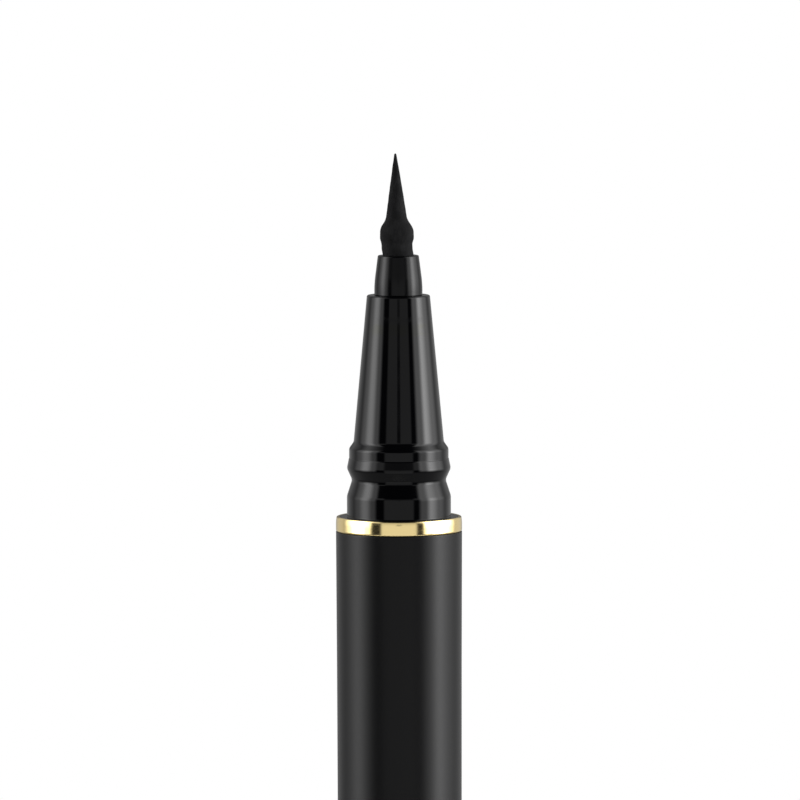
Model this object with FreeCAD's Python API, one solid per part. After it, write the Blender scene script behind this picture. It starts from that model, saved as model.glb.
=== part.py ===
import FreeCAD, Part
import math
import os

# A free-ink liquid eyeliner pen, standing tip up on its cap, which is posted on the tail.
# Millimetres. The pen's axis is Z, and Z is zero at the closed end of the cap.

# Fits and helpers
RUNNING_CLEARANCE = 0.025     # radial, between pieces that slide on each other
SEATED_CLEARANCE = 0.02       # radial, between pieces that are pushed together for good
BALL_CLEARANCE = 0.05         # around the loose ball
SPRING_END_CLEARANCE = 0.03   # between a spring end and its seat
CUT_OVERRUN = 0.5             # how far a cutter reaches past the faces it cuts

# Barrel
BARREL_LENGTH = 85.91
BARREL_RADIUS = 5.175
BARREL_MOUTH_RADIUS = 5.26
BARREL_FLARE_LENGTH = 19.0
BARREL_BORE_RADIUS = 4.30
BARREL_EDGE_CHAMFER = 0.06

# Trim ring
RING_HEIGHT = 1.245
RING_RADIUS = 5.26
RING_WALL = 0.30
RING_FLOOR = 0.30
RING_TOP_ROUND = 0.20
RING_EDGE_CHAMFER = 0.04

# Front section, heights above the top of the trim ring
SEAT_RADIUS = 4.3375
SEAT_HEIGHT = 1.72
GROOVE_RADIUS = 3.90
GROOVE_HEIGHT = 3.06
GROOVE_ROUND = 0.45
BEAD_RADIUS = 4.335
BEAD_HEIGHT = 4.02
BEAD_ROUND = 0.35
BAND_RADIUS = 4.145
BAND_START_HEIGHT = 4.96
BAND_END_HEIGHT = 5.69
CONE_BASE_RADIUS = 3.765
CONE_BASE_HEIGHT = 6.22
CONE_TOP_RADIUS = 2.625
NOSE_HEIGHT = 18.49
NOSE_EDGE_CHAMFER = 0.10
NOSE_BORE_RADIUS = 1.80
CHAMBER_RADIUS = 2.70
CHAMBER_TOP_HEIGHT = 7.0
CHAMBER_SLOPE_HEIGHT = 0.8
SKIRT_LENGTH = 10.0
SKIRT_LEAD = 0.4
SNAP_DEPTH = 6.0
SNAP_HEIGHT = 0.12
SNAP_HALF_WIDTH = 0.45
TANK_SPIGOT_LENGTH = 6.0

# Nib holder
HOLDER_HEIGHT = 3.31
HOLDER_BASE_RADIUS = 2.005
HOLDER_TOP_RADIUS = 1.705
HOLDER_STRAIGHT_HEIGHT = 0.95
HOLDER_SIDE_ROUND = 9.0
HOLDER_TOP_CHAMFER = 0.08
HOLDER_STEM_LENGTH = 10.0
HOLDER_SOCKET_DEPTH = 7.0
HOLDER_VENT_COUNT = 3
HOLDER_VENT_WIDTH = 0.5
HOLDER_VENT_DEPTH = 0.25
HOLDER_VENT_RUNOUT = 0.45

# Nib, heights above the top of its holder
NIB_NECK_RADIUS = 1.29
NIB_NECK_HEIGHT = 1.0
NIB_SHOULDER_RADIUS = 1.405
NIB_SHOULDER_LOW_HEIGHT = 1.35
NIB_SHOULDER_TOP_HEIGHT = 2.22
NIB_SHOULDER_ROUND = 0.30
NIB_WAIST_RADIUS = 0.895
NIB_WAIST_HEIGHT = 2.98
NIB_WAIST_ROUND = 0.25
NIB_MIDDLE_RADIUS = 0.60
NIB_MIDDLE_HEIGHT = 5.15
NIB_MIDDLE_ROUND = 12.0
NIB_HEIGHT = 8.50
NIB_TIP_RADIUS = 0.09
NIB_TIP_CHAMFER = 0.08
NIB_STEM_RADIUS = 0.90

# Feed wick and collector
WICK_RADIUS = 0.90
WICK_TAIL = 6.0
COLLECTOR_TUBE_RADIUS = 1.35
COLLECTOR_NECK_GAP = 0.25
COLLECTOR_FLANGE_THICKNESS = 0.8
COLLECTOR_FIN_COUNT = 14
COLLECTOR_FIN_THICKNESS = 0.6
COLLECTOR_SLIT_WIDTH = 0.35
COLLECTOR_NOTCH_WIDTH = 1.4
COLLECTOR_NOTCH_DEPTH = 0.7

# Ink tank, gasket and ball
TANK_RADIUS = 4.20
TANK_BORE_RADIUS = 3.30
TANK_FLOOR = 1.0
TANK_FLOOR_RISE = 1.2
TANK_EDGE_CHAMFER = 0.4
GASKET_THICKNESS = 0.8
BALL_RADIUS = 1.5

# Tail plug
TAIL_FLANGE_THICKNESS = 1.0
TAIL_FLANGE_CHAMFER = 0.08
TAIL_PLUG_DEPTH = 22.0
TAIL_PLUG_LEAD = 0.5
TAIL_SPIGOT_LENGTH = 8.0
TAIL_SPIGOT_CHAMFER = 0.4
TAIL_CORE_RADIUS = 3.0
TAIL_END_WALL = 1.0

# Cap, depths measured from its mouth
CAP_LENGTH = 42.0
CAP_RADIUS = 5.26
CAP_BORE_RADIUS = 4.3625
CAP_DEEP_BORE_RADIUS = 4.20
CAP_END_WALL = 1.2
CAP_END_ROUND = 0.55
CAP_MOUTH_CHAMFER = 0.15
CAP_BEAD_HEIGHT = 0.21
CAP_BEAD_HALF_WIDTH = 0.6
CAP_BEAD_FLAT_SHARE = 0.35
RETAINER_DEPTH = 9.0
RETAINER_LENGTH = 5.5
RETAINER_BORE_RADIUS = 3.70
RETAINER_CHAMFER = 0.3

# Inner cap and its spring
INNER_CAP_FLANGE_RADIUS = 4.15
INNER_CAP_FLANGE_THICKNESS = 1.0
INNER_CAP_RADIUS = 3.60
INNER_CAP_CAVITY_RADIUS = 3.0
INNER_CAP_LIP_RADIUS = 2.92
INNER_CAP_LIP_HEIGHT = 0.8
INNER_CAP_DEPTH = 16.7
INNER_CAP_END_WALL = 0.8
INNER_CAP_END_CHAMFER = 0.4
SPRING_SEAT_RADIUS = 2.3
SPRING_SEAT_HEIGHT = 1.0
SPRING_SEAT_CHAMFER = 0.2
SPRING_WIRE_RADIUS = 0.25
SPRING_MEAN_RADIUS = 3.0
SPRING_WIRE_SIDES = 8
SPRING_TURNS = 5
SPRING_SPANS_PER_TURN = 4
SPRING_GAP_POINTS = 60

# Heights that several pieces share
BARREL_REAR_Z = CAP_LENGTH + TAIL_FLANGE_THICKNESS
BARREL_MOUTH_Z = BARREL_REAR_Z + BARREL_LENGTH
RING_TOP_Z = BARREL_MOUTH_Z + RING_HEIGHT
NOSE_Z = RING_TOP_Z + NOSE_HEIGHT
HOLDER_TOP_Z = NOSE_Z + HOLDER_HEIGHT
HOLDER_BOTTOM_Z = NOSE_Z - HOLDER_STEM_LENGTH
CHAMBER_TOP_Z = RING_TOP_Z + CHAMBER_TOP_HEIGHT
SKIRT_BOTTOM_Z = BARREL_MOUTH_Z - SKIRT_LENGTH
SNAP_Z = BARREL_MOUTH_Z - SNAP_DEPTH
TANK_FRONT_Z = SKIRT_BOTTOM_Z - GASKET_THICKNESS
CHAMBER_BOTTOM_Z = SKIRT_BOTTOM_Z - TANK_SPIGOT_LENGTH
WICK_BOTTOM_Z = CHAMBER_BOTTOM_Z - COLLECTOR_FLANGE_THICKNESS - WICK_TAIL
TANK_REAR_Z = BARREL_REAR_Z + TAIL_PLUG_DEPTH
TAIL_END_Z = CAP_LENGTH - TAIL_SPIGOT_LENGTH
RETAINER_TOP_Z = CAP_LENGTH - RETAINER_DEPTH
RETAINER_BOTTOM_Z = RETAINER_TOP_Z - RETAINER_LENGTH
INNER_CAP_END_Z = RETAINER_BOTTOM_Z - INNER_CAP_DEPTH - INNER_CAP_END_WALL

# Radii that several pieces share
SKIRT_RADIUS = BARREL_BORE_RADIUS - SEATED_CLEARANCE
RING_BORE_RADIUS = BARREL_BORE_RADIUS + SEATED_CLEARANCE
SHOULDER_RADIUS = RING_RADIUS - RING_WALL - SEATED_CLEARANCE
TANK_SPIGOT_RADIUS = TANK_BORE_RADIUS - SEATED_CLEARANCE
TAIL_SPIGOT_RADIUS = CAP_BORE_RADIUS - CAP_BEAD_HEIGHT - RUNNING_CLEARANCE
NIB_SOCKET_RADIUS = NIB_NECK_RADIUS + SEATED_CLEARANCE
NIB_STEM_BORE_RADIUS = NIB_STEM_RADIUS + SEATED_CLEARANCE
WICK_BORE_RADIUS = WICK_RADIUS + SEATED_CLEARANCE
HOLDER_STEM_RADIUS = NOSE_BORE_RADIUS - SEATED_CLEARANCE
COLLECTOR_RADIUS = CHAMBER_RADIUS - SEATED_CLEARANCE

ORIGIN = FreeCAD.Vector(0, 0, 0)
UP = FreeCAD.Vector(0, 0, 1)
FULL_TURN = 360


def round_corner(before, corner, after, radius):
    """Start, middle and end of the arc of this radius that rounds a corner."""
    back = (before - corner).normalize()
    ahead = (after - corner).normalize()
    half_angle = back.getAngle(ahead) / 2
    reach = radius / math.tan(half_angle)
    inward = (back + ahead).normalize()
    depth = radius / math.sin(half_angle) - radius
    return corner + back * reach, corner + inward * depth, corner + ahead * reach


def outline(corners):
    """Closed wire in the XZ plane through corners (radius, height[, rounding])."""
    points = [FreeCAD.Vector(c[0], 0, c[1]) for c in corners]
    edges = []
    starts = []
    ends = []
    for i, corner in enumerate(corners):
        point = points[i]
        if len(corner) == 3:
            after = points[(i + 1) % len(points)]
            first, middle, last = round_corner(points[i - 1], point, after, corner[2])
            edges.append(Part.Arc(first, middle, last).toShape())
        else:
            first = last = point
        starts.append(first)
        ends.append(last)
    for i, end in enumerate(ends):
        edges.append(Part.LineSegment(end, starts[(i + 1) % len(starts)]).toShape())
    return Part.Wire(Part.__sortEdges__(edges))


def turned(corners):
    """Solid of revolution about the pen's axis."""
    return Part.Face(outline(corners)).revolve(ORIGIN, UP, FULL_TURN)


def block_at(angle, inner, outer, width, bottom, top):
    """Radial block from one radius to another, centred on an angle in degrees."""
    block = Part.makeBox(outer - inner, width, top - bottom, FreeCAD.Vector(inner, -width / 2, bottom))
    block.rotate(ORIGIN, UP, angle)
    return block


def make_barrel():
    """Tube with a slight flare at its mouth and a snap groove in its bore."""
    return turned([
        (BARREL_BORE_RADIUS, BARREL_REAR_Z),
        (BARREL_RADIUS - BARREL_EDGE_CHAMFER, BARREL_REAR_Z),
        (BARREL_RADIUS, BARREL_REAR_Z + BARREL_EDGE_CHAMFER),
        (BARREL_RADIUS, BARREL_MOUTH_Z - BARREL_FLARE_LENGTH),
        (BARREL_MOUTH_RADIUS, BARREL_MOUTH_Z - BARREL_EDGE_CHAMFER),
        (BARREL_MOUTH_RADIUS - BARREL_EDGE_CHAMFER, BARREL_MOUTH_Z),
        (BARREL_BORE_RADIUS, BARREL_MOUTH_Z),
        (BARREL_BORE_RADIUS, SNAP_Z + SNAP_HALF_WIDTH + SNAP_HEIGHT),
        (BARREL_BORE_RADIUS + SNAP_HEIGHT, SNAP_Z + SNAP_HALF_WIDTH),
        (BARREL_BORE_RADIUS + SNAP_HEIGHT, SNAP_Z - SNAP_HALF_WIDTH),
        (BARREL_BORE_RADIUS, SNAP_Z - SNAP_HALF_WIDTH - SNAP_HEIGHT),
    ])


def make_trim_ring():
    """Thin sleeve with a floor that is caught between the barrel and the front section."""
    inner = RING_RADIUS - RING_WALL
    floor_z = BARREL_MOUTH_Z + RING_FLOOR
    return turned([
        (RING_BORE_RADIUS, BARREL_MOUTH_Z),
        (RING_RADIUS - RING_EDGE_CHAMFER, BARREL_MOUTH_Z),
        (RING_RADIUS, BARREL_MOUTH_Z + RING_EDGE_CHAMFER),
        (RING_RADIUS, RING_TOP_Z, RING_TOP_ROUND),
        (inner, RING_TOP_Z),
        (inner, floor_z),
        (RING_BORE_RADIUS, floor_z),
    ])


def make_front_section():
    """Moulding with the nose cone, the cap's snap bead and seat, and the skirt in the barrel."""
    shoulder_z = BARREL_MOUTH_Z + RING_FLOOR
    snap_radius = SKIRT_RADIUS + SNAP_HEIGHT
    lead_z = SKIRT_BOTTOM_Z + SKIRT_LEAD
    return turned([
        (SEAT_RADIUS, RING_TOP_Z),
        (SEAT_RADIUS, RING_TOP_Z + SEAT_HEIGHT),
        (GROOVE_RADIUS, RING_TOP_Z + GROOVE_HEIGHT, GROOVE_ROUND),
        (BEAD_RADIUS, RING_TOP_Z + BEAD_HEIGHT, BEAD_ROUND),
        (BAND_RADIUS, RING_TOP_Z + BAND_START_HEIGHT),
        (BAND_RADIUS, RING_TOP_Z + BAND_END_HEIGHT),
        (CONE_BASE_RADIUS, RING_TOP_Z + CONE_BASE_HEIGHT),
        (CONE_TOP_RADIUS, NOSE_Z - NOSE_EDGE_CHAMFER),
        (CONE_TOP_RADIUS - NOSE_EDGE_CHAMFER, NOSE_Z),
        (NOSE_BORE_RADIUS, NOSE_Z),
        (NOSE_BORE_RADIUS, CHAMBER_TOP_Z),
        (CHAMBER_RADIUS, CHAMBER_TOP_Z - CHAMBER_SLOPE_HEIGHT),
        (CHAMBER_RADIUS, CHAMBER_BOTTOM_Z),
        (TANK_SPIGOT_RADIUS, CHAMBER_BOTTOM_Z),
        (TANK_SPIGOT_RADIUS, SKIRT_BOTTOM_Z),
        (SKIRT_RADIUS - SKIRT_LEAD, SKIRT_BOTTOM_Z),
        (SKIRT_RADIUS, lead_z),
        (SKIRT_RADIUS, SNAP_Z - SNAP_HALF_WIDTH),
        (snap_radius, SNAP_Z - SNAP_HALF_WIDTH + SNAP_HEIGHT),
        (snap_radius, SNAP_Z + SNAP_HALF_WIDTH - SNAP_HEIGHT),
        (SKIRT_RADIUS, SNAP_Z + SNAP_HALF_WIDTH),
        (SKIRT_RADIUS, shoulder_z),
        (SHOULDER_RADIUS, shoulder_z),
        (SHOULDER_RADIUS, RING_TOP_Z),
    ])


def make_nib_holder():
    """Collar on the nose with a stem in its bore, fluted so that air can pass."""
    holder = turned([
        (HOLDER_STEM_RADIUS, HOLDER_BOTTOM_Z),
        (HOLDER_STEM_RADIUS, NOSE_Z),
        (HOLDER_BASE_RADIUS, NOSE_Z),
        (HOLDER_BASE_RADIUS, NOSE_Z + HOLDER_STRAIGHT_HEIGHT, HOLDER_SIDE_ROUND),
        (HOLDER_TOP_RADIUS, HOLDER_TOP_Z - HOLDER_TOP_CHAMFER),
        (HOLDER_TOP_RADIUS - HOLDER_TOP_CHAMFER, HOLDER_TOP_Z),
        (NIB_SOCKET_RADIUS, HOLDER_TOP_Z),
        (NIB_SOCKET_RADIUS, HOLDER_TOP_Z - HOLDER_SOCKET_DEPTH),
        (NIB_STEM_BORE_RADIUS, HOLDER_TOP_Z - HOLDER_SOCKET_DEPTH),
        (NIB_STEM_BORE_RADIUS, HOLDER_BOTTOM_Z),
    ])
    flutes = [
        block_at(
            FULL_TURN * i / HOLDER_VENT_COUNT,
            HOLDER_STEM_RADIUS - HOLDER_VENT_DEPTH,
            HOLDER_STEM_RADIUS + CUT_OVERRUN,
            HOLDER_VENT_WIDTH,
            HOLDER_BOTTOM_Z - CUT_OVERRUN,
            NOSE_Z - HOLDER_VENT_RUNOUT,
        )
        for i in range(HOLDER_VENT_COUNT)
    ]
    return holder.cut(flutes)


def make_nib():
    """Pressed felt tip: stem, neck, rounded shoulder and slender point."""
    socket_z = HOLDER_TOP_Z - HOLDER_SOCKET_DEPTH
    return turned([
        (0, HOLDER_BOTTOM_Z),
        (NIB_STEM_RADIUS, HOLDER_BOTTOM_Z),
        (NIB_STEM_RADIUS, socket_z),
        (NIB_NECK_RADIUS, socket_z),
        (NIB_NECK_RADIUS, HOLDER_TOP_Z + NIB_NECK_HEIGHT),
        (NIB_SHOULDER_RADIUS, HOLDER_TOP_Z + NIB_SHOULDER_LOW_HEIGHT, NIB_SHOULDER_ROUND),
        (NIB_SHOULDER_RADIUS, HOLDER_TOP_Z + NIB_SHOULDER_TOP_HEIGHT, NIB_SHOULDER_ROUND),
        (NIB_WAIST_RADIUS, HOLDER_TOP_Z + NIB_WAIST_HEIGHT, NIB_WAIST_ROUND),
        (NIB_MIDDLE_RADIUS, HOLDER_TOP_Z + NIB_MIDDLE_HEIGHT, NIB_MIDDLE_ROUND),
        (NIB_TIP_RADIUS, HOLDER_TOP_Z + NIB_HEIGHT - NIB_TIP_CHAMFER),
        (0, HOLDER_TOP_Z + NIB_HEIGHT),
    ])


def make_feed_wick():
    """Fibre rod from the end of the nib's stem down into the tank."""
    length = HOLDER_BOTTOM_Z - WICK_BOTTOM_Z
    return Part.makeCylinder(WICK_RADIUS, length, FreeCAD.Vector(0, 0, WICK_BOTTOM_Z))


def make_collector():
    """Finned tube round the wick, with an ink slit and air notches on alternate sides."""
    neck_radius = NOSE_BORE_RADIUS - SEATED_CLEARANCE
    neck_z = CHAMBER_TOP_Z - CHAMBER_SLOPE_HEIGHT
    pitch = (neck_z - CHAMBER_BOTTOM_Z) / COLLECTOR_FIN_COUNT
    flange_z = CHAMBER_BOTTOM_Z - COLLECTOR_FLANGE_THICKNESS
    fin_bottoms = [CHAMBER_BOTTOM_Z + pitch * (i + 1) - COLLECTOR_FIN_THICKNESS
                   for i in range(COLLECTOR_FIN_COUNT)]
    corners = [
        (WICK_BORE_RADIUS, flange_z),
        (TANK_SPIGOT_RADIUS, flange_z),
        (TANK_SPIGOT_RADIUS, CHAMBER_BOTTOM_Z),
        (COLLECTOR_TUBE_RADIUS, CHAMBER_BOTTOM_Z),
    ]
    for bottom in fin_bottoms:
        top = bottom + COLLECTOR_FIN_THICKNESS
        corners += [
            (COLLECTOR_TUBE_RADIUS, bottom),
            (COLLECTOR_RADIUS, bottom),
            (COLLECTOR_RADIUS, top),
            (COLLECTOR_TUBE_RADIUS, top),
        ]
    corners[-1] = (neck_radius, neck_z)
    corners += [
        (neck_radius, HOLDER_BOTTOM_Z - COLLECTOR_NECK_GAP),
        (WICK_BORE_RADIUS, HOLDER_BOTTOM_Z - COLLECTOR_NECK_GAP),
    ]
    slit = block_at(0, COLLECTOR_TUBE_RADIUS, TANK_SPIGOT_RADIUS + CUT_OVERRUN, COLLECTOR_SLIT_WIDTH,
                    flange_z - CUT_OVERRUN, neck_z)
    notches = [
        block_at(
            FULL_TURN / 4 + FULL_TURN / 2 * (i % 2),
            COLLECTOR_RADIUS - COLLECTOR_NOTCH_DEPTH,
            COLLECTOR_RADIUS + CUT_OVERRUN,
            COLLECTOR_NOTCH_WIDTH,
            bottom - COLLECTOR_FIN_THICKNESS / 2,
            bottom + COLLECTOR_FIN_THICKNESS,
        )
        for i, bottom in enumerate(fin_bottoms)
    ]
    return turned(corners).cut([slit] + notches)


def make_ink_tank():
    """Closed tube between the gasket and the tail plug, with a coned floor for the ball."""
    floor_z = TANK_REAR_Z + TANK_FLOOR
    return turned([
        (0, TANK_REAR_Z),
        (TANK_RADIUS - TANK_EDGE_CHAMFER, TANK_REAR_Z),
        (TANK_RADIUS, TANK_REAR_Z + TANK_EDGE_CHAMFER),
        (TANK_RADIUS, TANK_FRONT_Z),
        (TANK_BORE_RADIUS, TANK_FRONT_Z),
        (TANK_BORE_RADIUS, floor_z + TANK_FLOOR_RISE),
        (0, floor_z),
    ])


def make_tank_gasket():
    """Flat ring between the tank's mouth and the end of the skirt."""
    return turned([
        (TANK_BORE_RADIUS, TANK_FRONT_Z),
        (TANK_RADIUS, TANK_FRONT_Z),
        (TANK_RADIUS, SKIRT_BOTTOM_Z),
        (TANK_BORE_RADIUS, SKIRT_BOTTOM_Z),
    ])


def make_agitator_ball():
    """Steel ball in the hollow of the tank's floor."""
    slope = math.atan(TANK_FLOOR_RISE / TANK_BORE_RADIUS)
    lift = (BALL_RADIUS + BALL_CLEARANCE) / math.cos(slope)
    return Part.makeSphere(BALL_RADIUS, FreeCAD.Vector(0, 0, TANK_REAR_Z + TANK_FLOOR + lift))


def make_tail_plug():
    """Cored plug in the rear of the barrel, with a flange and the spigot that takes the cap."""
    return turned([
        (0, TAIL_END_Z),
        (TAIL_SPIGOT_RADIUS - TAIL_SPIGOT_CHAMFER, TAIL_END_Z),
        (TAIL_SPIGOT_RADIUS, TAIL_END_Z + TAIL_SPIGOT_CHAMFER),
        (TAIL_SPIGOT_RADIUS, CAP_LENGTH),
        (BARREL_RADIUS - TAIL_FLANGE_CHAMFER, CAP_LENGTH),
        (BARREL_RADIUS, CAP_LENGTH + TAIL_FLANGE_CHAMFER),
        (BARREL_RADIUS, BARREL_REAR_Z - TAIL_FLANGE_CHAMFER),
        (BARREL_RADIUS - TAIL_FLANGE_CHAMFER, BARREL_REAR_Z),
        (SKIRT_RADIUS, BARREL_REAR_Z),
        (SKIRT_RADIUS, TANK_REAR_Z - TAIL_PLUG_LEAD),
        (SKIRT_RADIUS - TAIL_PLUG_LEAD, TANK_REAR_Z),
        (TAIL_CORE_RADIUS, TANK_REAR_Z),
        (TAIL_CORE_RADIUS, TAIL_END_Z + TAIL_END_WALL),
        (0, TAIL_END_Z + TAIL_END_WALL),
    ])


def make_cap_shell():
    """Closed sleeve with a snap bead near its mouth, a step for the retainer and a spring seat."""
    bead_z = CAP_LENGTH - GROOVE_HEIGHT
    bead_radius = CAP_BORE_RADIUS - CAP_BEAD_HEIGHT
    bead_flat = CAP_BEAD_FLAT_SHARE * CAP_BEAD_HALF_WIDTH
    return turned([
        (0, 0),
        (CAP_RADIUS, 0, CAP_END_ROUND),
        (CAP_RADIUS, CAP_LENGTH - CAP_MOUTH_CHAMFER),
        (CAP_RADIUS - CAP_MOUTH_CHAMFER, CAP_LENGTH),
        (CAP_BORE_RADIUS + CAP_MOUTH_CHAMFER, CAP_LENGTH),
        (CAP_BORE_RADIUS, CAP_LENGTH - CAP_MOUTH_CHAMFER),
        (CAP_BORE_RADIUS, bead_z + CAP_BEAD_HALF_WIDTH),
        (bead_radius, bead_z + bead_flat),
        (bead_radius, bead_z - bead_flat),
        (CAP_BORE_RADIUS, bead_z - CAP_BEAD_HALF_WIDTH),
        (CAP_BORE_RADIUS, RETAINER_BOTTOM_Z),
        (CAP_DEEP_BORE_RADIUS, RETAINER_BOTTOM_Z),
        (CAP_DEEP_BORE_RADIUS, CAP_END_WALL),
        (SPRING_SEAT_RADIUS, CAP_END_WALL),
        (SPRING_SEAT_RADIUS, CAP_END_WALL + SPRING_SEAT_HEIGHT - SPRING_SEAT_CHAMFER),
        (SPRING_SEAT_RADIUS - SPRING_SEAT_CHAMFER, CAP_END_WALL + SPRING_SEAT_HEIGHT),
        (0, CAP_END_WALL + SPRING_SEAT_HEIGHT),
    ])


def make_inner_cap_retainer():
    """Collar pushed into the cap as far as its step, which keeps the inner cap in."""
    radius = CAP_BORE_RADIUS - SEATED_CLEARANCE
    return turned([
        (RETAINER_BORE_RADIUS, RETAINER_BOTTOM_Z),
        (radius, RETAINER_BOTTOM_Z),
        (radius, RETAINER_TOP_Z),
        (RETAINER_BORE_RADIUS + RETAINER_CHAMFER, RETAINER_TOP_Z),
        (RETAINER_BORE_RADIUS, RETAINER_TOP_Z - RETAINER_CHAMFER),
    ])


def make_inner_cap():
    """Cup with a sealing lip and a flange, and a seat for the spring on its closed end."""
    cavity_end_z = RETAINER_BOTTOM_Z - INNER_CAP_DEPTH
    lip_z = RETAINER_BOTTOM_Z - INNER_CAP_LIP_HEIGHT
    lip_step = INNER_CAP_CAVITY_RADIUS - INNER_CAP_LIP_RADIUS
    flange_z = RETAINER_BOTTOM_Z - INNER_CAP_FLANGE_THICKNESS
    seat_z = INNER_CAP_END_Z - SPRING_SEAT_HEIGHT
    return turned([
        (0, seat_z),
        (SPRING_SEAT_RADIUS - SPRING_SEAT_CHAMFER, seat_z),
        (SPRING_SEAT_RADIUS, seat_z + SPRING_SEAT_CHAMFER),
        (SPRING_SEAT_RADIUS, INNER_CAP_END_Z),
        (INNER_CAP_RADIUS - INNER_CAP_END_CHAMFER, INNER_CAP_END_Z),
        (INNER_CAP_RADIUS, INNER_CAP_END_Z + INNER_CAP_END_CHAMFER),
        (INNER_CAP_RADIUS, flange_z),
        (INNER_CAP_FLANGE_RADIUS, flange_z),
        (INNER_CAP_FLANGE_RADIUS, RETAINER_BOTTOM_Z),
        (INNER_CAP_LIP_RADIUS, RETAINER_BOTTOM_Z),
        (INNER_CAP_LIP_RADIUS, lip_z),
        (INNER_CAP_CAVITY_RADIUS, lip_z - lip_step),
        (INNER_CAP_CAVITY_RADIUS, cavity_end_z),
        (0, cavity_end_z),
    ])


def helix_point(share, start_z, height):
    """Point of the spring's centre line at a share of its length, and the direction there."""
    angle = 2 * math.pi * SPRING_TURNS * share
    across = FreeCAD.Vector(math.cos(angle), math.sin(angle), 0)
    along = FreeCAD.Vector(-math.sin(angle), math.cos(angle), 0)
    point = across * SPRING_MEAN_RADIUS + UP * (start_z + height * share)
    rise = height / (2 * math.pi * SPRING_TURNS)
    return point, (along * SPRING_MEAN_RADIUS + UP * rise).normalize()


def tangent_arc(start, control, end):
    """Arc from start to end whose tangents meet in the control point."""
    chord = end - start
    lean = (control - start).getAngle(chord)
    middle = (start + end) * 0.5
    outward = (control - middle).normalize()
    depth = chord.Length / 2 * math.tan(lean / 2)
    return Part.Arc(start, middle + outward * depth, end).toShape()


def biarc(start, start_way, end, end_way):
    """Two tangent arcs from one directed point to another."""
    across = end - start
    ways = start_way + end_way
    closeness = 2 * (1 - start_way.dot(end_way))
    lead = across.dot(ways)
    reach = (math.sqrt(lead * lead + closeness * across.dot(across)) - lead) / closeness
    first = start + start_way * reach
    second = end - end_way * reach
    joint = (first + second) * 0.5
    return [tangent_arc(start, first, joint), tangent_arc(joint, second, end)]


def wire_section(centre, way):
    """Many-sided section of the spring's wire, square to its direction."""
    across = (centre - UP * centre.z).normalize()
    beside = way.cross(across)
    corners = []
    for i in range(SPRING_WIRE_SIDES + 1):
        angle = 2 * math.pi * i / SPRING_WIRE_SIDES
        corners.append(centre + (across * math.cos(angle) + beside * math.sin(angle)) * SPRING_WIRE_RADIUS)
    return Part.makePolygon(corners)


def make_inner_cap_spring():
    """Open coil spring from the cap's end wall to the inner cap."""
    start_z = CAP_END_WALL + SPRING_END_CLEARANCE + SPRING_WIRE_RADIUS
    end_z = INNER_CAP_END_Z - SPRING_END_CLEARANCE - SPRING_WIRE_RADIUS
    height = end_z - start_z
    spans = SPRING_TURNS * SPRING_SPANS_PER_TURN
    marks = [helix_point(i / spans, start_z, height) for i in range(spans + 1)]
    edges = []
    for (start, start_way), (end, end_way) in zip(marks, marks[1:]):
        edges += biarc(start, start_way, end, end_way)
    section = wire_section(*marks[0])
    pipe = Part.BRepOffsetAPI.MakePipeShell(Part.Wire(edges))
    pipe.add(section)
    pipe.build()
    pipe.makeSolid()
    print("spring: least gap between turns %.2f mm" % spring_gap(start_z, height))
    return pipe.shape()


def spring_gap(start_z, height):
    """Least gap between points of the wire that are half a turn or more apart."""
    count = SPRING_TURNS * SPRING_GAP_POINTS
    points = [helix_point(i / count, start_z, height)[0] for i in range(count + 1)]
    apart = SPRING_GAP_POINTS // 2
    nearest = min((points[i] - points[j]).Length
                  for i in range(count + 1) for j in range(i + apart, count + 1))
    return nearest - 2 * SPRING_WIRE_RADIUS


PIECES = {
    "nib": make_nib,
    "nib_holder": make_nib_holder,
    "front_section": make_front_section,
    "trim_ring": make_trim_ring,
    "barrel": make_barrel,
    "feed_wick": make_feed_wick,
    "collector": make_collector,
    "ink_tank": make_ink_tank,
    "tank_gasket": make_tank_gasket,
    "agitator_ball": make_agitator_ball,
    "tail_plug": make_tail_plug,
    "cap_shell": make_cap_shell,
    "inner_cap_retainer": make_inner_cap_retainer,
    "inner_cap": make_inner_cap,
    "inner_cap_spring": make_inner_cap_spring,
}

os.makedirs("parts", exist_ok=True)
for name, make in PIECES.items():
    shape = make()
    shape.exportStep("parts/" + name + ".step")
    print("%s: valid %s, %.2f mm3" % (name, shape.isValid(), shape.Volume))
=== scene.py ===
"""Liquid eyeliner pen, uncapped and standing in its posted cap, dressed for a plain studio.

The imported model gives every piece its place. The pieces of the pen's outside and of the cap are
turned again here with finer roundings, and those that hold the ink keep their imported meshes.
Sizes are millimetres, and a mesh becomes metres when it is published.
"""

from __future__ import annotations

import functools
import logging
import math
from dataclasses import dataclass
from enum import Enum

import bmesh
import bpy
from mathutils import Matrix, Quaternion, Vector, noise


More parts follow.
